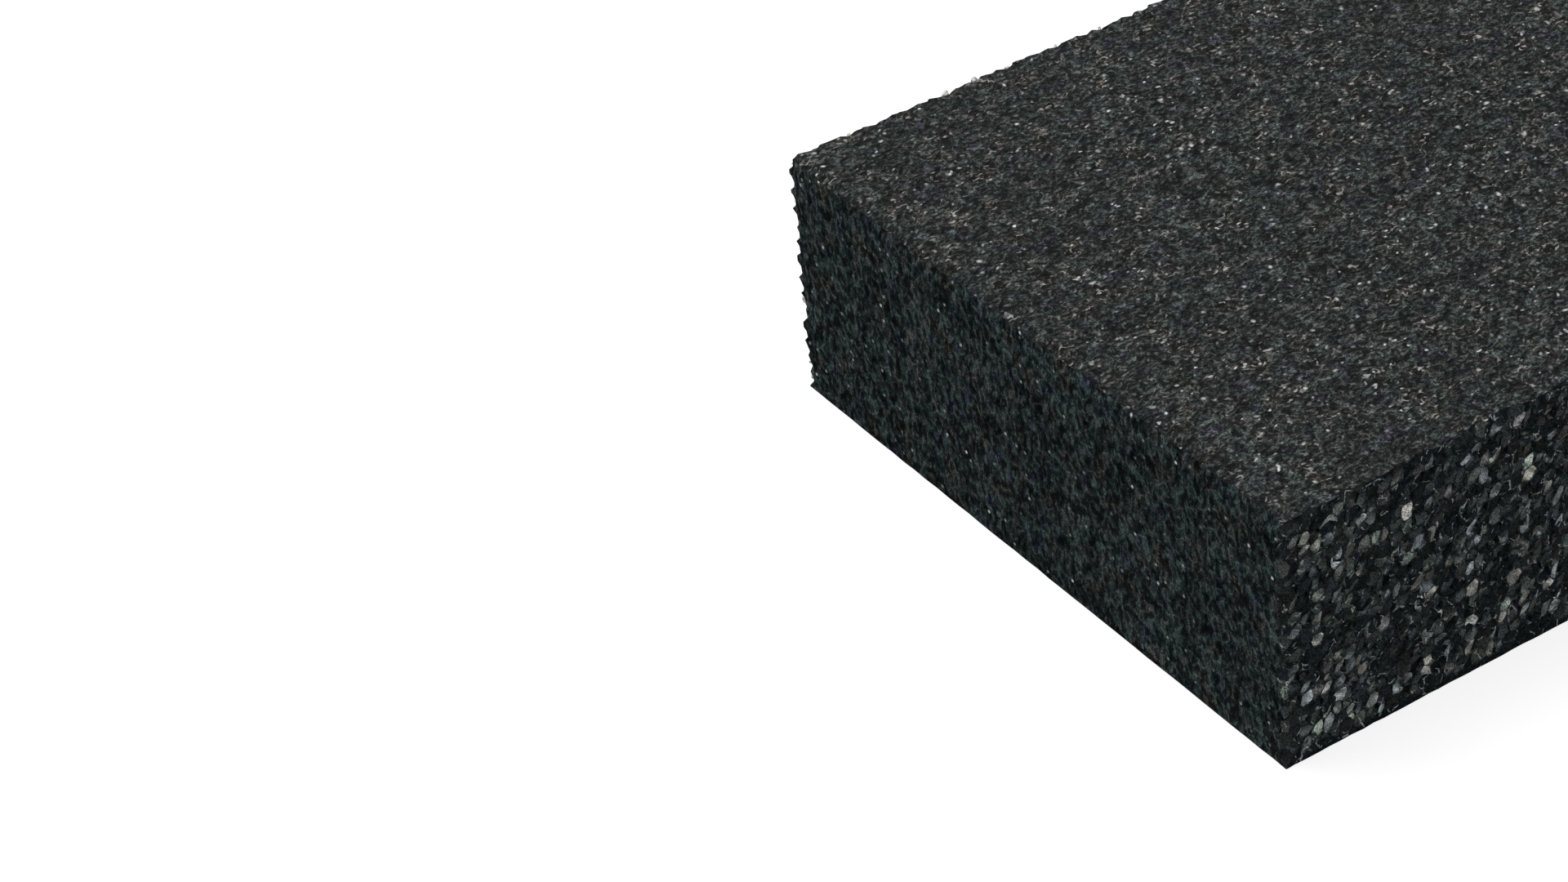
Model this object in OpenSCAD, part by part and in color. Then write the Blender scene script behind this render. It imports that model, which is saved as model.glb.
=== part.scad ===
// Foam block: a rectangular offcut of black polyethylene foam plank, in one piece.
// The two ends were cut with a fine blade and are close to smooth. The two long sides were
// cut coarsely, so their top and upright edges are rows of torn cells and their faces are
// fields of cells that lie open at several depths.
// In millimetres: X along the length, Y along the width, Z up, with the origin at the middle
// of the underside.

/* [Block] */
// Length of the block, between its two ends
block_l = 200; // [100:1:260]
// Width of the block, between its two coarse sides
block_w = 138; // [60:1:300]
// Thickness of the plank that the block was cut from
block_t = 50; // [25:1:65]

/* [Torn cells along the edges of the coarse sides] */
// Mean distance between torn cells
torn_pitch = 3.5; // [3:0.1:8]
// Mean radius of a torn cell
torn_r = 1.8; // [1.5:0.05:2.2]
// How much torn cells vary in size and place, as a share of their mean size
torn_vary = 0.2; // [0:0.01:0.25]
// On an upright edge, how far out of each face a torn cell has its centre
upright_out = 0.2; // [0.1:0.05:0.6]
// On a long edge, how far out of the coarse side a torn cell has its centre
long_out = 0.9; // [0.6:0.05:1.1]
// On a top edge, how far under the plank's skin a torn cell has its centre
top_under = 1; // [0.8:0.05:1.2]
// On a bottom edge, how much foam stays between a torn cell and the underside
bottom_skin = 0.3; // [0.2:0.05:1]

/* [Open cells in the coarse sides] */
// Mean width of an open cell, where one or two cells tore open together
cell_w = 2.9; // [2.4:0.1:4]
// Mean length of an open cell, along its lean
cell_l = 4; // [3.4:0.1:5]
// How far the cells lean over from upright, in degrees
cell_lean = 30; // [0:1:45]
// How much the open cells vary in size, as a share of their mean size
cell_vary = 0.2; // [0.1:0.01:0.3]
// Least thickness of the foam between two open cells
cell_wall = 0.9; // [0.7:0.05:2]
// Depth of the shallowest open cells
cell_shallow = 0.5; // [0.3:0.05:0.8]
// Depth of the deepest open cells
cell_deep = 1.1; // [0.9:0.05:1.6]

/* [Hidden] */
$fn = 24;

charcoal = "#26292b";
torn_seed = 11;
cell_seed = 71;

cell_levels = 3;
cell_corners = 6;
// How far a corner strays from an even pattern, as a share of the step between two corners
corner_stray = 0.18;
// How far the cutters of the open cells stand out of the coarse side
cell_clear = 1;

// The largest torn cell, and the height of its centre over the underside on a bottom edge
torn_r_max = torn_r * (1 + torn_vary);
bottom_over = (torn_r_max + bottom_skin) / (1 - torn_vary);

// What the largest leaning cell takes up along X and along Z
cell_x = (1 + cell_vary) * norm([cell_w * cos(cell_lean), cell_l * sin(cell_lean)]);
cell_z = (1 + cell_vary) * norm([cell_w * sin(cell_lean), cell_l * cos(cell_lean)]);

// The open cells keep this far from the upright, top and bottom edges, so that none runs
// into a torn cell.
end_margin = torn_r_max;
top_margin = top_under * (1 + torn_vary) + torn_r_max;
bottom_margin = bottom_over * (1 + torn_vary) + torn_r_max;

// The torn cells of one edge of length l, which runs along X through the origin. The foam
// lies on the side of negative Y and negative Z, and out says how far each centre stands
// out of the face across Y and out of the face across Z.
module torn_cells(l, out, seed) {
    n = round(l / torn_pitch);
    pitch = l / n;
    along = rands(-torn_vary, torn_vary, n, seed);
    size = rands(1 - torn_vary, 1 + torn_vary, n, seed + 1);
    place_y = rands(1 - torn_vary, 1 + torn_vary, n, seed + 2);
    place_z = rands(1 - torn_vary, 1 + torn_vary, n, seed + 3);
    for (i = [0 : n - 1])
        translate([-l / 2 + (i + 0.5 + along[i]) * pitch, out[0] * place_y[i], out[1] * place_z[i]])
            sphere(torn_r * size[i]);
}

// Puts its child on one edge along X of a box that is w wide and t high, with the outside of
// the edge towards positive Y and positive Z of the child.
module on_edge(w, t, side, level) {
    translate([0, side * w / 2, level * t / 2])
        mirror([0, (1 - side) / 2, 0]) mirror([0, 0, (1 - level) / 2]) children();
}

module torn_long_edges() {
    for (side = [-1, 1]) {
        on_edge(block_w, block_t, side, 1) torn_cells(block_l, [long_out, -top_under], torn_seed);
        on_edge(block_w, block_t, side, -1) torn_cells(block_l, [long_out, -bottom_over], torn_seed);
    }
}

module torn_upright_edges() {
    rotate([0, 90, 0]) for (side = [-1, 1], end = [-1, 1])
        on_edge(block_w, block_l, side, end)
            torn_cells(block_t, [upright_out, upright_out], torn_seed + 20);
}

// The outlines of the open cells of one depth, on a coarse side that is w long and h high.
// The cells stand in staggered rows, and the depths take turns along and across the rows.
module cell_outlines(w, h, level) {
    nx = max(1, floor(w / (cell_x + cell_wall) - 0.5));
    nz = max(1, floor(h / (cell_z + cell_wall)));
    size = rands(1 - cell_vary, 1 + cell_vary, nx * nz, cell_seed);
    stray = rands(-corner_stray, corner_stray, nx * nz * cell_corners, cell_seed + 1);
    for (i = [0 : nx - 1], k = [0 : nz - 1])
        if ((i + 2 * k + floor(i / 4)) % cell_levels == level) {
            n = i * nz + k;
            x = ((i + 0.5 + 0.5 * (k % 2)) / (nx + 0.5) - 0.5) * w;
            z = ((k + 0.5) / nz - 0.5) * h;
            translate([x, z]) rotate(-cell_lean)
                polygon([for (c = [0 : cell_corners - 1])
                    let (a = (c + stray[n * cell_corners + c]) * 360 / cell_corners)
                    size[n] / 2 * [cell_w * cos(a), cell_l * sin(a)]]);
        }
}

// The cutters of the open cells of one depth, from the shallowest level to the deepest
module open_cells(level) {
    w = block_l - 2 * end_margin;
    h = block_t - top_margin - bottom_margin;
    depth = cell_shallow + (cell_deep - cell_shallow) * level / (cell_levels - 1);
    translate([0, cell_clear, (bottom_margin - top_margin) / 2]) rotate([90, 0, 0])
        linear_extrude(cell_clear + depth) cell_outlines(w, h, level);
}

module on_coarse_sides() {
    for (side = [-1, 1])
        translate([0, side * block_w / 2, 0]) mirror([0, (1 - side) / 2, 0]) children();
}

module foam_block() {
    color(charcoal) translate([0, 0, block_t / 2]) difference() {
        cube([block_l, block_w, block_t], center = true);
        torn_long_edges();
        torn_upright_edges();
        on_coarse_sides() open_cells(0);
        on_coarse_sides() open_cells(1);
        on_coarse_sides() open_cells(2);
    }
}

foam_block();
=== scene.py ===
"""A block of black polyethylene foam: plank skin above and below, clean-cut ends, coarse long sides.

The solid gives the box, its torn edges and the widest open cells. The block made here adds the other
cells of the coarse sides, the swell of the skins and the finish of each face, in which some light and
shade is painted into the colour. X runs along the block, Y across it and Z up. Meshes are made in
millimetres and scaled to metres at the end.
"""

import math
import random

import bmesh
import bpy
from mathutils import Matrix, Vector, noise


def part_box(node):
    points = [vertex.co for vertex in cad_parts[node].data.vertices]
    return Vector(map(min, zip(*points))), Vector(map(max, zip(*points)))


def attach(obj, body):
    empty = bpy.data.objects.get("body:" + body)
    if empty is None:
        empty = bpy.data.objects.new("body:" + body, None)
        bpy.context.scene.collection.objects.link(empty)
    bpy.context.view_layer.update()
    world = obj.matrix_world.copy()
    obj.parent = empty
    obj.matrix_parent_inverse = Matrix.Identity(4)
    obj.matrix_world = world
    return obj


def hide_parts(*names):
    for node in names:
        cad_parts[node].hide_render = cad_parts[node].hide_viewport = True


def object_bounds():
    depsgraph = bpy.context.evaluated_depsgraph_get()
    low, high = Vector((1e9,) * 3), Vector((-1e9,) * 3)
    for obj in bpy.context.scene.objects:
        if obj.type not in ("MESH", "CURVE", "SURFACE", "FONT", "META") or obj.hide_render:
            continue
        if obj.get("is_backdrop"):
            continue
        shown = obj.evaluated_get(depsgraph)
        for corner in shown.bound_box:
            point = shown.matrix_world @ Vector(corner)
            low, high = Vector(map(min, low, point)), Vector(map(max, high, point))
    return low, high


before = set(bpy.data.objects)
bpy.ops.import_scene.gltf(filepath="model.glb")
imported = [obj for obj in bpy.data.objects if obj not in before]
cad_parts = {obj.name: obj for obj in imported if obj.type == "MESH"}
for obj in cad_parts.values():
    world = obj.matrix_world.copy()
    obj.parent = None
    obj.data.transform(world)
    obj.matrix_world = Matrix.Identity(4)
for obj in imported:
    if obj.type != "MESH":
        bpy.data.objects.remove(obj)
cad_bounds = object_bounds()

MM = 0.001
X, Y, Z = range(3)
BLOCK_LOW, BLOCK_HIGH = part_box("foam_block")
BLOCK_MIDDLE = (BLOCK_LOW + BLOCK_HIGH) / 2
BLOCK_SIZE = (BLOCK_HIGH - BLOCK_LOW) / MM

# Where each finish sits in the block's list of materials
PLANK_SKIN, CLEAN_CUT, COARSE_CUT = range(3)
# An edge lies along an axis, and a face across it, from this share of its direction
MOSTLY = 0.7
# A point this close to one of the box's planes lies on it
SAME_PLACE = 0.01

# Mean distance between the cells of a coarse side, and between the points of the other faces
CELL_PITCH_X, CELL_PITCH_Z = 2.3, 2.55
SKIN_PITCH = 3.4
# How far a cell's middle, its corners and the bends of its walls stray, as a share of the pitch. A
# wall bends where it is longer than BENT_FROM.
MIDDLE_STRAY, CORNER_STRAY, BEND_STRAY = 0.28, 0.1, 0.08
BENT_FROM = 1.1
# The shear that picks the diagonals, so that most cells lean with the foam's extrusion
CELL_LEAN = 0.22
# How far the walls between cells are torn back from the face
TORN_BACK = (0.04, 0.42)
# A cell has at least this many corners
CELL_CORNERS = 5
# How deep the cells go, with the width of the sloping wall round each one's floor
CELL_DEPTHS = ((0.15, 0.12), (0.25, 0.14), (0.4, 0.16), (0.55, 0.18), (0.75, 0.2), (1.05, 0.22))
# How steeply a floor may be tilted, and how far its outline goes from its polygon towards an oval
# that leans over and is stretched by so much
FLOOR_TILT = 0.3
ROUNDING = 0.75
OVAL_LEAN = math.radians(30)
OVAL_STRETCH = 1.12

# The painted light and shade of the cells' floors: of each kind, the share of the cells that it and
# the ones before it make up, then its darkest and its palest. Some floors are painted as taking the
# light fully and more as taking half.
FLOOR_SHADES = ((0.12, 0.75, 1.0), (0.45, 0.42, 0.7), (1.0, 0.12, 0.42))
# How much darker the painted shade makes a floor for each millimetre of depth, how much its corners
# differ, and the painted shade of the walls at their foot, as a share of the floor's
DIMMED_BY_DEPTH = 0.2
UNEVEN = (0.9, 1.1)
WALL_FOOT = 0.7
# How much the painted light changes across a floor, and over what distance
GLOW, GLOW_WAVE = 0.8, 1.4
# The painted shade of the walls' rims and how much it changes, over what distance, and how high the
# change has to be for the rim to shine as a pale film, partly the film's own paleness and partly a
# painted highlight
RIM_SHADE, RIM_CHANGE = 0.22, 0.3
FILM_FROM, FILM_WAVE = 0.3, 1.5
# The palest shade of what is left of the face between the cells
FACE_SHADE = 0.3
# The coarse sides are painted dark just over the underside and just under the skin, as painted shade:
# the share of the light at the very edge, and how far in it is full
EDGE_LIGHT_OVER, DARK_OVER = 0.25, 2.6
EDGE_LIGHT_UNDER, DARK_UNDER = 0.35, 3.0

# The swell of the top, of the underside and of the clean cuts: how deep, over what distance
TOP_SWELL, BOTTOM_SWELL, SKIN_WAVE = 0.3, 0.09, 6.0
CUT_SWELL, CUT_WAVE = 0.14, 9.0
# How deep the edges between a skin and a clean cut are worn at the top and at the bottom, over what
# distance
TOP_WEAR, BOTTOM_WEAR, WEAR_WAVE = 0.9, 0.25, 3.1
# How far the skin is torn back at the top of a coarse side, over what distance, and how much more
# often than not
SKIN_TEAR, TEAR_WAVE, TEAR_MORE = 3.2, 3.6, 0.05
# How much the points along the edges of a coarse side differ in depth
SIDE_UNEVEN = 0.2
# These set one wave apart from another of the same size
CUT_APART, WEAR_APART = Vector((7, 0, 0)), Vector((0, 5, 0))
# Every face stays this far inside the solid's
INSIDE = 0.03
# Meshes are smooth except where their faces meet at more than this
SHARP = math.radians(70)


def linear(hex_colour):
    """An sRGB hex colour as the linear red, green, blue and alpha that a shader takes."""
    channels = [int(hex_colour[i:i + 2], 16) / 255 for i in (1, 3, 5)]
    curve = [c / 12.92 if c <= 0.04045 else ((c + 0.055) / 1.055) ** 2.4 for c in channels]
    return (*curve, 1.0)


def show(name, data):
    """Puts a mesh, a lamp or a camera in the scene as an object at the origin."""
    piece = bpy.data.objects.new(name, data)
    bpy.context.scene.collection.objects.link(piece)
    return piece


def as_mesh(bm, name):
    """Makes a mesh of a finished bmesh."""
    mesh = bpy.data.meshes.new(name)
    bm.to_mesh(mesh)
    bm.free()
    return mesh


def apply_modifiers(piece):
    """Makes a piece's modifiers part of its mesh."""
    graph = bpy.context.evaluated_depsgraph_get()
    shaped = bpy.data.meshes.new_from_object(piece.evaluated_get(graph))
    piece.modifiers.clear()
    piece.data = shaped


def patches(faces, belong):
    """Groups faces into patches. Two that share an edge are in one patch where belong says so."""
    waiting = set(faces)
    for first in faces:
        if first not in waiting:
            continue
        waiting.discard(first)
        patch = [first]
        for face in patch:
            for other in {other for edge in face.edges for other in edge.link_faces}:
                if other in waiting and belong(face, other):
                    waiting.discard(other)
                    patch.append(other)
        yield patch


# The block's mesh


def on_face(vert, axis):
    return abs(abs(vert.co[axis]) - BLOCK_SIZE[axis] / 2) < SAME_PLACE


def across(face, axis):
    return abs(face.normal[axis]) > MOSTLY


def push_in(vert, axis, distance):
    """Moves a point from its side of the block towards the middle."""
    vert.co[axis] -= math.copysign(distance, vert.co[axis])


def wave(place, length, apart=Vector()):
    """A smooth height between about none and one, which rises and falls over this length."""
    return 0.5 + 0.5 * noise.noise(place / length + apart)


def slice_along(bm, axis, pitch):
    """Cuts the whole block across one axis, into slices about one pitch thick."""
    along = []
    for edge in bm.edges:
        run = edge.verts[1].co - edge.verts[0].co
        if abs(run[axis]) > MOSTLY * run.length:
            along.append(edge)
    cuts = round(BLOCK_SIZE[axis] / pitch) - 1
    bmesh.ops.subdivide_edges(bm, edges=along, cuts=cuts, use_grid_fill=True)


def stray(vert, rng, share):
    """Moves a point about in the plane of a coarse side."""
    vert.co.x += rng.uniform(-share, share) * CELL_PITCH_X
    vert.co.z += rng.uniform(-share, share) * CELL_PITCH_Z


def make_grid(bm, rng):
    """A block of triangles. On the coarse sides their points stray and most long edges lean one way."""
    bmesh.ops.create_cube(bm, size=1.0)
    bmesh.ops.scale(bm, vec=BLOCK_SIZE, verts=bm.verts)
    slice_along(bm, X, CELL_PITCH_X)
    slice_along(bm, Y, SKIN_PITCH)
    slice_along(bm, Z, CELL_PITCH_Z)
    for vert in bm.verts:
        if on_face(vert, Y) and not on_face(vert, X) and not on_face(vert, Z):
            stray(vert, rng, MIDDLE_STRAY)
    lean = Matrix.Identity(4)
    lean[X][Z] = -CELL_LEAN
    bmesh.ops.transform(bm, matrix=lean, verts=bm.verts)
    bmesh.ops.triangulate(bm, faces=bm.faces, quad_method="BEAUTY")
    bmesh.ops.transform(bm, matrix=lean.inverted(), verts=bm.verts)
    bm.normal_update()


def draw_cells(bm, rng):
    """Turns the coarse sides into polygons with bent walls, one round each middle point."""
    side = {face for face in bm.faces if across(face, Y)}
    middles = [vert for vert in bm.verts if side.issuperset(vert.link_faces)]
    spokes = [edge for edge in bm.edges if side.issuperset(edge.link_faces)]
    triangles = [face for face in bm.faces if face in side]
    corners = bmesh.ops.poke(bm, faces=triangles)["verts"]
    bmesh.ops.rotate_edges(bm, edges=spokes, use_ccw=False)
    bmesh.ops.dissolve_verts(bm, verts=middles)
    corners = [vert for vert in corners if vert.is_valid]
    for vert in corners:
        push_in(vert, Y, rng.uniform(*TORN_BACK))
        stray(vert, rng, CORNER_STRAY)
    kept = set(corners)
    walls = [edge for edge in bm.edges if kept.issuperset(edge.verts) and edge.calc_length() > BENT_FROM]
    for bend in bmesh.ops.bisect_edges(bm, edges=walls, cuts=1)["geom_split"]:
        if isinstance(bend, bmesh.types.BMVert):
            stray(bend, rng, BEND_STRAY)


def shape_floor(floor, rng):
    """Rounds the floor of one cell towards a leaning oval, and tilts it."""
    middle = floor.calc_center_median()
    lean = Matrix.Rotation(OVAL_LEAN, 3, "Y")
    stretch = Matrix.Diagonal((1 / OVAL_STRETCH, 1, OVAL_STRETCH))
    oval = lean @ stretch @ lean.transposed()
    reach = sum((vert.co - middle).length for vert in floor.verts) / len(floor.verts)
    tilt_x, tilt_z = (rng.uniform(-FLOOR_TILT, FLOOR_TILT) for _ in range(2))
    for vert in floor.verts:
        out = vert.co - middle
        out = out.lerp(oval @ out.normalized() * reach, ROUNDING)
        vert.co = middle + out
        vert.co.y += tilt_x * out.x + tilt_z * out.z


def daylight(vert):
    """How much of the light reaches a place on a coarse side, as painted shade: little near its top and
    bottom edges.
    """
    over = vert.co.z + BLOCK_SIZE.z / 2
    under = BLOCK_SIZE.z / 2 - vert.co.z
    from_bottom = EDGE_LIGHT_OVER + (1 - EDGE_LIGHT_OVER) * over / DARK_OVER
    from_top = EDGE_LIGHT_UNDER + (1 - EDGE_LIGHT_UNDER) * under / DARK_UNDER
    return min(1.0, from_bottom, from_top)


def rim_shade(vert):
    """The painted shade of a wall's rim: dark, or in some places a pale film with a painted highlight."""
    change = noise.noise(vert.co / FILM_WAVE)
    if change > FILM_FROM:
        return RIM_SHADE + change
    return RIM_SHADE + RIM_CHANGE * change


# The painted light and shade of one cell's floor
def floor_shade(rng):
    kind = rng.random()
    darkest, palest = next((low, high) for up_to, low, high in FLOOR_SHADES if kind < up_to)
    return rng.uniform(darkest, palest)


def shade_cell(floor, shade, tint, depth, rng):
    """Gives a cell one tint and its floor one painted shade, darker with depth and with painted light
    that changes across it, which fades up the walls to their rims.
    """
    own_tint = rng.random()
    own_shade = floor_shade(rng) * (1 - DIMMED_BY_DEPTH * depth)
    inner = set(floor.verts)
    for face in {other for edge in floor.edges for other in edge.link_faces}:
        face[tint] = own_tint
        for corner in face.loops:
            glow = 1 + GLOW * noise.noise(corner.vert.co / GLOW_WAVE)
            if face is floor:
                value = own_shade * glow * rng.uniform(*UNEVEN)
            elif corner.vert in inner:
                value = WALL_FOOT * own_shade * glow
            else:
                value = rim_shade(corner.vert)
            corner[shade] = max(0.0, value) * daylight(corner.vert)


def open_cells(bm, shade, tint, rng):
    """Sinks the cells of the coarse sides to their floors."""
    draw_cells(bm, rng)
    bm.normal_update()
    for face in bm.faces:
        if across(face, Y):
            face.material_index = COARSE_CUT
            for corner in face.loops:
                corner[shade] = FACE_SHADE * rng.random() * daylight(corner.vert)
    cells = [face for face in bm.faces if len(face.verts) >= CELL_CORNERS]
    rng.shuffle(cells)
    for k, (depth, wall) in enumerate(CELL_DEPTHS):
        group = cells[k::len(CELL_DEPTHS)]
        bmesh.ops.inset_individual(
            bm, faces=group, thickness=wall, depth=-depth, use_even_offset=True)
        for floor in group:
            shape_floor(floor, rng)
            shade_cell(floor, shade, tint, depth, rng)


def swell(bm, rng):
    """Lets the skins and the clean cuts swell and dip, and wears the edges between them."""
    for vert in bm.verts:
        place = vert.co.copy()
        top = place.z > 0
        skin, end, side = on_face(vert, Z), on_face(vert, X), on_face(vert, Y)
        if skin:
            deepest = TOP_SWELL if top else BOTTOM_SWELL
            push_in(vert, Z, INSIDE + deepest * wave(place, SKIN_WAVE))
        if end:
            push_in(vert, X, INSIDE + CUT_SWELL * wave(place, CUT_WAVE, CUT_APART))
        if side:
            push_in(vert, Y, INSIDE + SIDE_UNEVEN * rng.random())
        if side and skin and top:
            push_in(vert, Y, SKIN_TEAR * max(0.0, TEAR_MORE + noise.noise(place / TEAR_WAVE)))
        if skin and end:
            wear = TOP_WEAR if top else BOTTOM_WEAR
            push_in(vert, Z, wear * wave(place, WEAR_WAVE))
            push_in(vert, X, wear * wave(place, WEAR_WAVE, WEAR_APART))


def block_mesh(rng):
    bm = bmesh.new()
    shade = bm.loops.layers.float.new("shade")
    tint = bm.faces.layers.float.new("tint")
    make_grid(bm, rng)
    open_cells(bm, shade, tint, rng)
    for face in bm.faces:
        if across(face, X):
            face.material_index = CLEAN_CUT
        elif across(face, Z) and face.material_index != COARSE_CUT:
            face.material_index = PLANK_SKIN
    swell(bm, rng)
    bmesh.ops.triangulate(bm, faces=bm.faces)
    bmesh.ops.scale(bm, vec=(MM, MM, MM), verts=bm.verts)
    bmesh.ops.translate(bm, vec=BLOCK_MIDDLE, verts=bm.verts)
    return as_mesh(bm, "foam_block_cells")


# Marks the faces that come from the solid. Its torn cells get a shade each, and the floors of its
# open cells keep the mark, which makes the finish draw smaller cells on them in painted light and shade.
FROM_SOLID = -1.0
# Points of the solid closer than this are merged, and this share of its triangles is kept
MERGED = 0.002
THINNED = 0.22
# A face turned towards Y by more than this is flat, and not part of a torn cell
FLAT = 0.999
# Faces of one torn cell meet at less than this, and its shade lies between these
SAME_CELL = math.radians(38)
TORN_SHADES = (0.08, 0.43)
# A loose piece with fewer faces than this is a crumb
CRUMB_FACES = 50


def torn_outline(materials):
    """The solid as a closed mesh with fewer triangles. Its cells are cut into the block."""
    bm = bmesh.new()
    bm.from_mesh(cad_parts["foam_block"].data)
    bm.loops.layers.float.new("shade")
    tint = bm.faces.layers.float.new("tint")
    bmesh.ops.remove_doubles(bm, verts=bm.verts, dist=MERGED * MM)
    for face in bm.faces:
        face.material_index = COARSE_CUT
        face[tint] = FROM_SOLID
    mesh = as_mesh(bm, "torn_outline")
    if "custom_normal" in mesh.attributes:
        mesh.attributes.remove(mesh.attributes["custom_normal"])
    for material in materials:
        mesh.materials.append(material)
    outline = show("torn_outline", mesh)
    outline.modifiers.new("thin", "DECIMATE").ratio = THINNED
    apply_modifiers(outline)
    return outline


def drop_crumbs(bm):
    """Takes away the few crumbs of wall that the torn cells cut loose from the block."""
    loose = [patch for patch in patches(list(bm.faces), lambda face, other: True)
             if len(patch) < CRUMB_FACES]
    bmesh.ops.delete(bm, geom=[face for patch in loose for face in patch], context="FACES")


def shade_torn_cells(bm, rng):
    """Gives each torn cell one shade and tint of its own."""
    shade, tint = bm.loops.layers.float["shade"], bm.faces.layers.float["tint"]
    torn = [face for face in bm.faces if face[tint] < 0 and abs(face.normal.y) < FLAT]
    for cell in patches(torn, lambda face, other: face.normal.angle(other.normal, 0) < SAME_CELL):
        own_shade, own_tint = rng.uniform(*TORN_SHADES), rng.random()
        for face in cell:
            face[tint] = own_tint
            for corner in face.loops:
                corner[shade] = own_shade


def make_block(materials):
    rng = random.Random(5)
    block = show("foam_block_cells", block_mesh(rng))
    for material in materials:
        block.data.materials.append(material)
    outline = torn_outline(materials)
    trim = block.modifiers.new("trim", "BOOLEAN")
    trim.operation = "INTERSECT"
    trim.solver = "MANIFOLD"
    trim.object = outline
    apply_modifiers(block)
    bpy.data.objects.remove(outline)

    bm = bmesh.new()
    bm.from_mesh(block.data)
    drop_crumbs(bm)
    bm.normal_update()
    shade_torn_cells(bm, rng)
    for face in bm.faces:
        face.smooth = True
    for edge in bm.edges:
        one_finish = len({face.material_index for face in edge.link_faces}) == 1
        edge.smooth = one_finish and edge.calc_face_angle(0.0) < SHARP
    bm.to_mesh(block.data)
    bm.free()
    return block


# Pale films that hang in torn cells: heights on the far upright edge and distances from the far end
# along the back edge of the top, each with a radius
FILMS_UP = ((2.4, 0.55), (5.9, 0.65), (9.0, 0.95), (19.4, 0.9), (26.2, 0.4), (41.0, 0.55), (48.8, 0.4))
FILMS_ALONG = ((12.9, 0.6), (34.0, 0.75), (40.6, 0.9), (47.5, 0.7), (58.5, 0.7), (68.6, 0.6))
# How far in from both faces of its edge a film lies, on the upright edge and on the long one
FILM_IN_UP, FILM_IN_ALONG = 0.8, 0.6
# How thin a film is, how deeply it is crumpled and how finely, as shares of its radius
FLATTENED, CRUMPLED, CRUMPLES = 0.45, 0.5, 1.3


def add_film(bm, place, radius, rng):
    """One small crumpled film, thinner across than it is wide."""
    ball = bmesh.ops.create_icosphere(bm, subdivisions=2, radius=1.0)["verts"]
    turn = Matrix.Rotation(rng.uniform(0, math.pi), 3, Vector((rng.random(), rng.random(), 1)))
    for vert in ball:
        crumple = 1 + CRUMPLED * noise.noise(vert.co * CRUMPLES + place)
        flat = Vector((FLATTENED * vert.co.x, vert.co.y, vert.co.z))
        vert.co = turn @ flat * radius * crumple + place


def make_films(material):
    rng = random.Random(3)
    far_end, back, top = BLOCK_LOW.x / MM, BLOCK_HIGH.y / MM, BLOCK_HIGH.z / MM
    bm = bmesh.new()
    for height, radius in FILMS_UP:
        place = Vector((far_end + FILM_IN_UP, back - FILM_IN_UP, BLOCK_LOW.z / MM + height))
        add_film(bm, place, radius, rng)
    for along, radius in FILMS_ALONG:
        place = Vector((far_end + along, back - FILM_IN_ALONG, top - FILM_IN_ALONG))
        add_film(bm, place, radius, rng)
    for face in bm.faces:
        face.smooth = True
    bmesh.ops.scale(bm, vec=(MM, MM, MM), verts=bm.verts)
    mesh = as_mesh(bm, "torn_films")
    mesh.materials.append(material)
    return show("torn_films", mesh)


# Materials


def set_stops(ramp, stops):
    """Puts (position, hex colour) stops on a colour ramp that still has its first two."""
    while len(ramp.elements) < len(stops):
        ramp.elements.new(1.0)
    for element, (position, colour) in zip(ramp.elements, stops):
        element.position = position
        element.color = linear(colour)


def add(tree, kind, output, settings):
    """Adds a node and gives one of its outputs, or all of them where output is None. A setting is a
    property, the stops of a ramp, or what a socket takes: a number, a hex colour or a source."""
    node = tree.nodes.new("ShaderNode" + kind)
    for name, value in settings.items():
        if name == "stops":
            set_stops(node.color_ramp, value)
        elif isinstance(name, str) and hasattr(node, name):
            setattr(node, name, value)
        elif isinstance(value, bpy.types.NodeSocket):
            tree.links.new(value, node.inputs[name])
        else:
            node.inputs[name].default_value = linear(value) if isinstance(value, str) else value
    return node.outputs if output is None else node.outputs[output]


def empty_tree(owner):
    """The node tree of a material or a world, with nothing in it."""
    owner.use_nodes = True
    owner.node_tree.nodes.clear()
    return owner.node_tree


def new_material(name):
    """An empty material, its tree and the place on the block in millimetres."""
    material = bpy.data.materials.new(name)
    tree = empty_tree(material)
    place = add(tree, "TexCoord", "Object", {})
    in_mm = add(tree, "VectorMath", "Vector", {"operation": "SCALE", "Scale": 1 / MM, 0: place})
    return material, tree, in_mm


# How rough the foam's noises are, between where most of their values lie, and a whole span
NOISE_ROUGH = 0.6
MOST = (0.36, 0.64)
WIDE = (0.35, 0.65)
WHOLE = (0.0, 1.0)
# The sockets and the output of a Mix node that mixes colours
SHARE, BASE, OVER, MIXED = 0, 6, 7, 2


def flowing(tree, place, distance, amount, turn=(0, 0, 0), stretch=(1, 1, 1)):
    """The place as the foam has flowed: carried about by slow curls, turned by degrees and drawn out."""
    curl = add(tree, "TexNoise", "Color", {"Scale": 1 / distance, "Detail": 1.0, "Vector": place})
    centred = add(tree, "VectorMath", "Vector", {"operation": "SUBTRACT", 0: curl, 1: (0.5, 0.5, 0.5)})
    carried = add(tree, "VectorMath", "Vector", {
        "operation": "MULTIPLY_ADD", 0: centred, 1: (amount, amount, amount), 2: place})
    return add(tree, "Mapping", "Vector", {
        "vector_type": "TEXTURE", "Rotation": [math.radians(angle) for angle in turn],
        "Scale": stretch, "Vector": carried})


def grain(tree, place, size, detail, turn=0, stretch=(1, 1, 1)):
    """Soft grains of about this size in millimetres, turned by degrees about Z and drawn out."""
    turned = add(tree, "Mapping", "Vector", {
        "vector_type": "TEXTURE", "Rotation": (0, 0, math.radians(turn)), "Scale": stretch,
        "Vector": place})
    return add(tree, "TexNoise", "Fac", {
        "Scale": 1 / size, "Detail": detail, "Roughness": NOISE_ROUGH, "Vector": turned})


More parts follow.
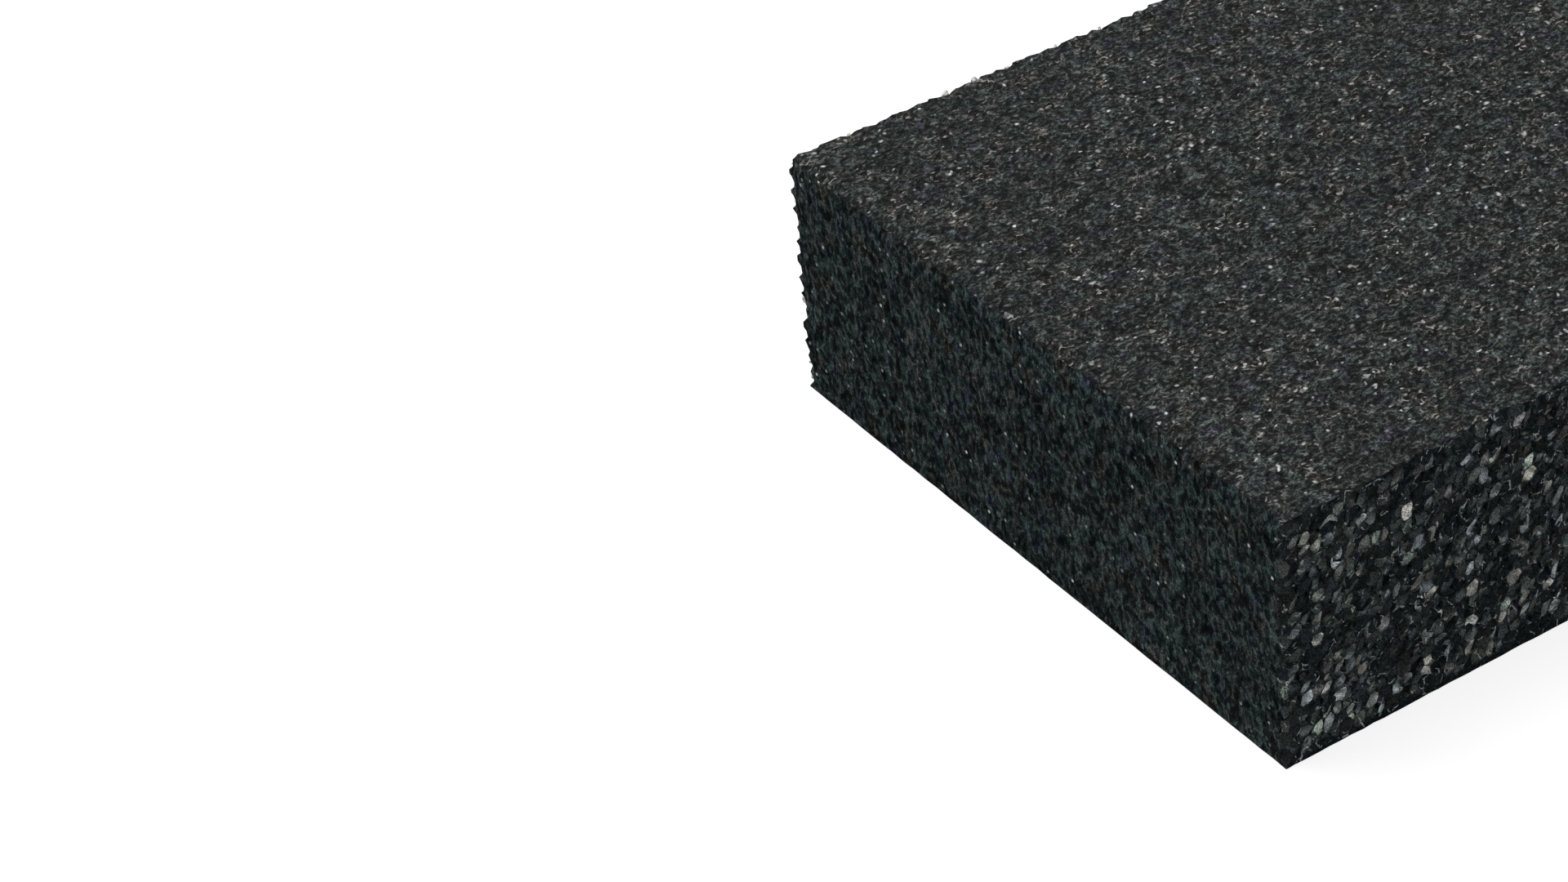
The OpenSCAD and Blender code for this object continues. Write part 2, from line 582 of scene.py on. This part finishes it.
def overlap(tree, *parts):
    """The product of some sources. Each part is a source, the span of it that counts, and the levels
    that it is given at the two ends of that span and past them."""
    product = 1.0
    for source, span, levels in parts:
        part = add(tree, "MapRange", "Result", {
            "Value": source, "From Min": span[0], "From Max": span[1],
            "To Min": levels[0], "To Max": levels[1]})
        product = add(tree, "Math", "Value", {"operation": "MULTIPLY", 0: product, 1: part})
    return product


def coated(tree, base, colour, *parts):
    """A colour laid over another. What overlap makes of the parts is its share."""
    return add(tree, "Mix", MIXED, {
        "data_type": "RGBA", SHARE: overlap(tree, *parts), BASE: base, OVER: colour})


def varied(tree, base, source, span, levels):
    """A colour made darker or brighter by the levels that a source has over its span."""
    level = overlap(tree, (source, span, levels))
    grey = add(tree, "CombineColor", "Color", {"Red": level, "Green": level, "Blue": level})
    return add(tree, "Mix", MIXED, {
        "data_type": "RGBA", "blend_type": "MULTIPLY", SHARE: 1.0, BASE: base, OVER: grey})


def drift(tree, place, base, amount):
    """Faint drifts of violet, green and brown, as in dark regranulated plastic."""
    hues = add(tree, "ValToRGB", "Color", {"Fac": grain(tree, place, 5.0, 3.0), "stops": (
        (0.34, "#dccfff"), (0.45, "#e0fff0"), (0.54, "#f4f4f4"), (0.66, "#ffe8d0"))})
    return add(tree, "Mix", MIXED, {
        "data_type": "RGBA", "blend_type": "MULTIPLY", SHARE: amount, BASE: base, OVER: hues})


def painted_specks(tree, place, spacing, share, size, fading):
    """Small painted specks with soft edges, each on its own spot of a loose pattern in millimetres, in a
    share of the spots: painted glints where pale, painted shade of pits where dark. The more fading, the
    more of them are faint."""
    spots = add(tree, "TexVoronoi", None, {
        "voronoi_dimensions": "2D", "Scale": 1 / spacing, "Vector": place})
    chance = add(tree, "SeparateColor", "Red", {"Color": spots["Color"]})
    lit = overlap(tree, (chance, (1 - share, 1.0), WHOLE))
    strength = add(tree, "Math", "Value", {"operation": "POWER", 0: lit, 1: fading})
    disc = (size / spacing, 0.2 * size / spacing)
    return overlap(tree, (spots["Distance"], disc, WHOLE), (strength, WHOLE, WHOLE))


def arcs(tree, place, size, width):
    """Thin curled lines, broken into short arcs."""
    bend = add(tree, "Math", "Value", {"operation": "SUBTRACT", 0: grain(tree, place, size, 0.0), 1: 0.5})
    bend = add(tree, "Math", "Value", {"operation": "ABSOLUTE", 0: bend})
    whole = grain(tree, place, 0.8 * size, 0.0, turn=50)
    return overlap(tree, (bend, (width, 0.0), WHOLE), (whole, (0.54, 0.68), WHOLE))


def small_cells(tree, place, size):
    """Cells of about this size: a random number for each, and the distances to its middle and rim."""
    cells = add(tree, "TexVoronoi", None, {"Scale": 1 / size, "Vector": place})
    chance = add(tree, "SeparateColor", "Red", {"Color": cells["Color"]})
    rim = add(tree, "TexVoronoi", "Distance", {
        "feature": "DISTANCE_TO_EDGE", "Scale": 1 / size, "Vector": place})
    return chance, cells["Distance"], rim


def darkened_ends(tree, place, base, reach):
    """Darkens a skin along its two clean-cut edges, up to a ragged line about this far in."""
    along = add(tree, "SeparateXYZ", "X", {"Vector": place})
    out = add(tree, "Math", "Value", {"operation": "SUBTRACT", 0: along, 1: BLOCK_MIDDLE.x / MM})
    out = add(tree, "Math", "Value", {"operation": "ABSOLUTE", 0: out})
    ragged = add(tree, "Math", "Value", {
        "operation": "MULTIPLY_ADD", 0: grain(tree, place, 0.9, 3.0), 1: 2.4 * reach, 2: out})
    half = BLOCK_SIZE.x / 2
    return coated(tree, base, "#121414", (ragged, (half + 0.2 * reach, half + 1.2 * reach), WHOLE))


def finish(tree, colour, height, depth, roughness, gloss):
    """The foam's plastic: its colour, its relief and how it takes the light."""
    relief = add(tree, "Bump", "Normal", {"Distance": depth * MM, "Height": height})
    plastic = add(tree, "BsdfPrincipled", "BSDF", {
        "IOR": 1.5, "Specular IOR Level": gloss, "Roughness": roughness, "Base Color": colour,
        "Normal": relief})
    add(tree, "OutputMaterial", None, {"Surface": plastic})


def plank_skin():
    """Extruded polyethylene skin: a thin melted film over the cells. It gives the eye a crinkled dark
    grey, with fine painted glints and curls of painted highlight that lie thick in some places and thin
    in others."""
    material, tree, place = new_material("crinkled polyethylene skin")
    along = flowing(tree, place, 3.0, 2.0, (0, 0, 18), (1.1, 0.9, 1.0))
    curled = flowing(tree, place, 1.6, 1.6, (0, 0, 18), (1.3, 0.9, 1.0))
    across_it = add(tree, "Mapping", "Vector", {
        "vector_type": "TEXTURE", "Rotation": (0, 0, math.radians(25)), "Scale": (1.3, 0.8, 1.0),
        "Vector": along})
    crinkle = arcs(tree, curled, 1.2, 0.1)
    fold = grain(tree, curled, 0.8, 1.0)
    fine = grain(tree, place, 0.3, 2.0)
    cloud = grain(tree, along, 2.6, 3.0)
    clump = grain(tree, place, 5.0, 1.0)
    # Where the painted glints and pale crinkle lines lie thick or thin
    lively = overlap(tree, (grain(tree, place, 9.0, 2.0), (0.4, 0.6), (0.2, 1.0)))
    base = add(tree, "ValToRGB", "Color", {
        "Fac": fold, "stops": ((0.25, "#080909"), (0.5, "#232525"), (0.75, "#585a59"))})
    base = varied(tree, base, cloud, MOST, (0.4, 1.65))
    # Pale crinkle lines: a painted sheen on the wrinkles of the skin
    base = coated(tree, base, "#8a8d8b", (crinkle, WHOLE, WHOLE), (lively, WHOLE, (0.1, 0.33)))
    # Dark pits: painted shade of small hollows in the skin
    pits = painted_specks(tree, across_it, spacing=3.4, share=0.45, size=1.1, fading=0.6)
    base = coated(tree, base, "#060707", (pits, WHOLE, (0.0, 0.8)))
    base = darkened_ends(tree, place, base, 1.5)
    base = varied(tree, base, fine, MOST, (0.3, 1.75))
    base = varied(tree, base, grain(tree, place, 7.0, 2.0), WIDE, (0.8, 1.2))
    base = drift(tree, place, base, 0.7)
    # Painted glints and curls of painted highlight, where the crinkled film would catch the light
    bright = add(tree, "Math", "Value", {
        "operation": "MAXIMUM",
        0: painted_specks(tree, along, spacing=2.2, share=0.26, size=0.48, fading=2.4),
        1: painted_specks(tree, curled, spacing=1.2, share=0.22, size=0.32, fading=2.6)})
    shine = add(tree, "Math", "Value", {
        "operation": "MAXIMUM",
        0: overlap(tree, (bright, WHOLE, WHOLE), (lively, WHOLE, WHOLE)),
        1: overlap(tree, (crinkle, WHOLE, WHOLE), (clump, (0.54, 0.68), (0.0, 0.5)))})
    base = coated(tree, base, "#eceeed", (shine, WHOLE, WHOLE))
    height = add(tree, "Math", "Value", {"operation": "MULTIPLY_ADD", 0: fine, 1: 0.25, 2: fold})
    height = add(tree, "Math", "Value", {"operation": "MULTIPLY_ADD", 0: cloud, 1: 1.5, 2: height})
    finish(tree, base, height, depth=0.6, roughness=0.4, gloss=0.05)
    return material


def clean_cut():
    """Polyethylene foam cut with a fine blade. It gives the eye tiny cells drawn out upwards, dark and
    matt, with a few sparkles painted in as glints."""
    material, tree, place = new_material("clean-cut polyethylene foam")
    upright = flowing(tree, place, 3.0, 1.5, stretch=(1.0, 1.0, 1.5))
    chance, middle, rim = small_cells(tree, upright, 1.5)
    fibre = grain(tree, place, 0.3, 2.0, stretch=(1.0, 1.0, 1.2))
    cloud = grain(tree, upright, 1.2, 2.0)
    dark_patches = grain(tree, place, 3.5, 2.0)
    base = add(tree, "ValToRGB", "Color", {
        "Fac": cloud, "stops": ((0.36, "#171a1b"), (0.5, "#282d2e"), (0.64, "#3d4345"))})
    base = varied(tree, base, chance, WHOLE, (0.7, 1.28))
    base = coated(tree, base, "#525a5a", (rim, (0.12, 0.03), WHOLE), (cloud, (0.42, 0.62), WHOLE))
    base = coated(tree, base, "#0a0c0d", (middle, (0.3, 0.1), (0.0, 0.45)))
    # Darker in some patches at random
    base = coated(tree, base, "#0a0c0d", (dark_patches, (0.36, 0.5), (0.4, 0.0)))
    base = varied(tree, base, fibre, MOST, (0.4, 1.6))
    base = varied(tree, base, grain(tree, place, 6.0, 2.0), WIDE, (0.8, 1.2))
    base = drift(tree, place, base, 0.8)
    parts = add(tree, "SeparateXYZ", None, {"Vector": place})
    flat = add(tree, "CombineXYZ", "Vector", {"X": parts["Y"], "Y": parts["Z"]})
    # Painted glints: faint and bright sparkles painted into the colour
    faint = painted_specks(tree, flat, spacing=2.4, share=0.2, size=0.4, fading=2.5)
    bright = painted_specks(tree, flat, spacing=6.0, share=0.14, size=0.42, fading=0.5)
    base = coated(tree, base, "#b0b5b4", (faint, WHOLE, WHOLE))
    base = coated(tree, base, "#f2f6f6", (bright, WHOLE, WHOLE))
    finish(tree, base, fibre, depth=0.2, roughness=0.6, gloss=0.0)
    return material


def coarse_cut():
    """Polyethylene foam torn open by a coarse blade. It gives the eye a crowd of small walls, from near
    black to pale grey: partly the films' own paleness and partly painted light and shade, each cell
    painted as taking the light on its own."""
    material, tree, place = new_material("torn-open polyethylene foam")
    shade, tint = (add(tree, "Attribute", "Fac", {"attribute_name": name}) for name in ("shade", "tint"))
    leaning = flowing(tree, place, 2.4, 1.2, (0, 30, 0), (1.0, 1.0, 1.35))
    chance, middle, rim = small_cells(tree, leaning, 2.3)
    # On the solid's open-cell floors, drawn cells of painted light: pale in the middle, darker towards
    # the rim, few of them pale
    few_pale = add(tree, "Math", "Value", {"operation": "POWER", 0: chance, 1: 2.0})
    drawn = overlap(tree, (middle, (0.55, 0.38), (0.3, 1.0)), (few_pale, WHOLE, (0.2, 0.95)))
    from_solid = add(tree, "Math", "Value", {"operation": "LESS_THAN", 0: tint, 1: 0.0})
    shade = add(tree, "Mix", 0, {0: from_solid, 2: shade, 3: drawn})
    # Pale rims on the drawn cells: partly pale film, partly a painted highlight
    film = overlap(tree, (rim, (0.06, 0.025), WHOLE),
                   (grain(tree, place, 1.6, 1.0), (0.53, 0.6), (0.0, 0.8)))
    shade = add(tree, "Math", "Value", {"operation": "MAXIMUM", 0: shade, 1: film})
    fine = grain(tree, place, 0.28, 2.0)
    base = add(tree, "ValToRGB", "Color", {"Fac": shade, "stops": (
        (0.0, "#161a1a"), (0.25, "#2d3132"), (0.55, "#606463"), (0.8, "#999c9a"), (1.0, "#dbdbd6"))})
    base = varied(tree, base, fine, MOST, (0.35, 1.65))
    hues = add(tree, "ValToRGB", "Color", {"Fac": tint, "stops": (
        (0.0, "#eaf2ff"), (0.3, "#f0faff"), (0.55, "#fafaf8"), (0.8, "#fff8f2"), (0.88, "#ecfff2"),
        (1.0, "#fcf2fa"))})
    base = add(tree, "Mix", MIXED, {
        "data_type": "RGBA", "blend_type": "MULTIPLY", SHARE: 1.0, BASE: base, OVER: hues})
    finish(tree, base, fine, depth=0.15, roughness=0.5, gloss=0.0)
    return material


def pale_film():
    """Torn polyethylene film, so thin that it has no black of its own. It gives the eye pale specks."""
    material, tree, place = new_material("torn polyethylene film")
    uneven = grain(tree, place, 0.5, 2.0)
    base = add(tree, "ValToRGB", "Color", {
        "Fac": uneven, "stops": ((0.35, "#83827b"), (0.62, "#efeee8"))})
    finish(tree, base, uneven, depth=0.05, roughness=0.4, gloss=0.3)
    return material


# The room: a floor, the light and the camera

FLOOR_SIZE = 4.0
# How much of white the floor adds to what the light makes of it, for the camera and in reflections
FLOOR_LIFT = 0.77
SKY_LEVEL = 0.45


def pale_floor():
    """A pale table top that reads as white, and keeps the block's shadow."""
    bm = bmesh.new()
    bmesh.ops.create_grid(bm, x_segments=1, y_segments=1, size=FLOOR_SIZE)
    mesh = as_mesh(bm, "floor")
    floor = show("floor", mesh)
    floor.location.z = BLOCK_LOW.z
    material = bpy.data.materials.new("pale table top")
    tree = empty_tree(material)
    ray = add(tree, "LightPath", None, {})
    seen = ray["Is Camera Ray"]
    for kind in ("Is Glossy Ray", "Is Transmission Ray"):
        seen = add(tree, "Math", "Value", {"operation": "MAXIMUM", 0: seen, 1: ray[kind]})
    paint = add(tree, "BsdfDiffuse", "BSDF", {"Color": "#a2a2a2"})
    level = add(tree, "Math", "Value", {"operation": "MULTIPLY", 0: seen, 1: FLOOR_LIFT})
    lift = add(tree, "Emission", "Emission", {"Color": "#ffffff", "Strength": level})
    both = add(tree, "AddShader", "Shader", {0: paint, 1: lift})
    add(tree, "OutputMaterial", None, {"Surface": both})
    mesh.materials.append(material)
    floor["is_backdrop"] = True


def soft_sky():
    """An even light from all round, which the camera sees as white."""
    world = bpy.data.worlds.new("sky")
    bpy.context.scene.world = world
    tree = empty_tree(world)
    seen = add(tree, "LightPath", "Is Camera Ray", {})
    even = add(tree, "Background", "Background", {"Color": "#ffffff", "Strength": SKY_LEVEL})
    white = add(tree, "Background", "Background", {"Color": "#ffffff", "Strength": 1.0})
    both = add(tree, "MixShader", "Shader", {0: seen, 1: even, 2: white})
    add(tree, "OutputWorld", None, {"Surface": both})


def soft_lamp(name, place, size, power):
    """A square soft lamp that points at the block."""
    data = bpy.data.lights.new(name, "AREA")
    data.size = size
    data.energy = power
    lamp = show(name, data)
    lamp.location = place
    lamp.rotation_euler = (BLOCK_MIDDLE - lamp.location).to_track_quat("-Z", "Y").to_euler()


# The camera stands where the photo was taken: a long lens, looking down past the near upright edge.
# Its place is in millimetres, its directions in degrees.
CAMERA_FROM_NEAR_CORNER = Vector((-316.6, -396.3, 440.2))
CAMERA_HEADING = 59.86
CAMERA_PITCH = 36.04
CAMERA_ROLL = -5.74
LENS = 95.05
SENSOR = 36.0


def photo_camera():
    data = bpy.data.cameras.new("camera")
    data.lens = LENS
    data.sensor_width = SENSOR
    camera = show("camera", data)
    heading = Matrix.Rotation(math.radians(CAMERA_HEADING - 90), 4, "Z")
    pitch = Matrix.Rotation(math.radians(90 - CAMERA_PITCH), 4, "X")
    roll = Matrix.Rotation(math.radians(CAMERA_ROLL), 4, "Z")
    place = Matrix.Translation(BLOCK_LOW + CAMERA_FROM_NEAR_CORNER * MM)
    camera.matrix_world = place @ heading @ pitch @ roll
    bpy.context.scene.camera = camera


photo_camera()
block = make_block((plank_skin(), clean_cut(), coarse_cut()))
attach(block, "root")
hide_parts("foam_block")

films = make_films(pale_film())
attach(films, "root")

pale_floor()
soft_sky()
soft_lamp("key", place=(-0.35, 0.45, 1.3), size=1.0, power=13.0)
soft_lamp("fill", place=(-0.9, -0.9, 0.8), size=1.0, power=4.0)
bpy.context.scene.view_settings.view_transform = "Standard"

[[list(corner) for corner in box] for box in (cad_bounds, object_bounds())]
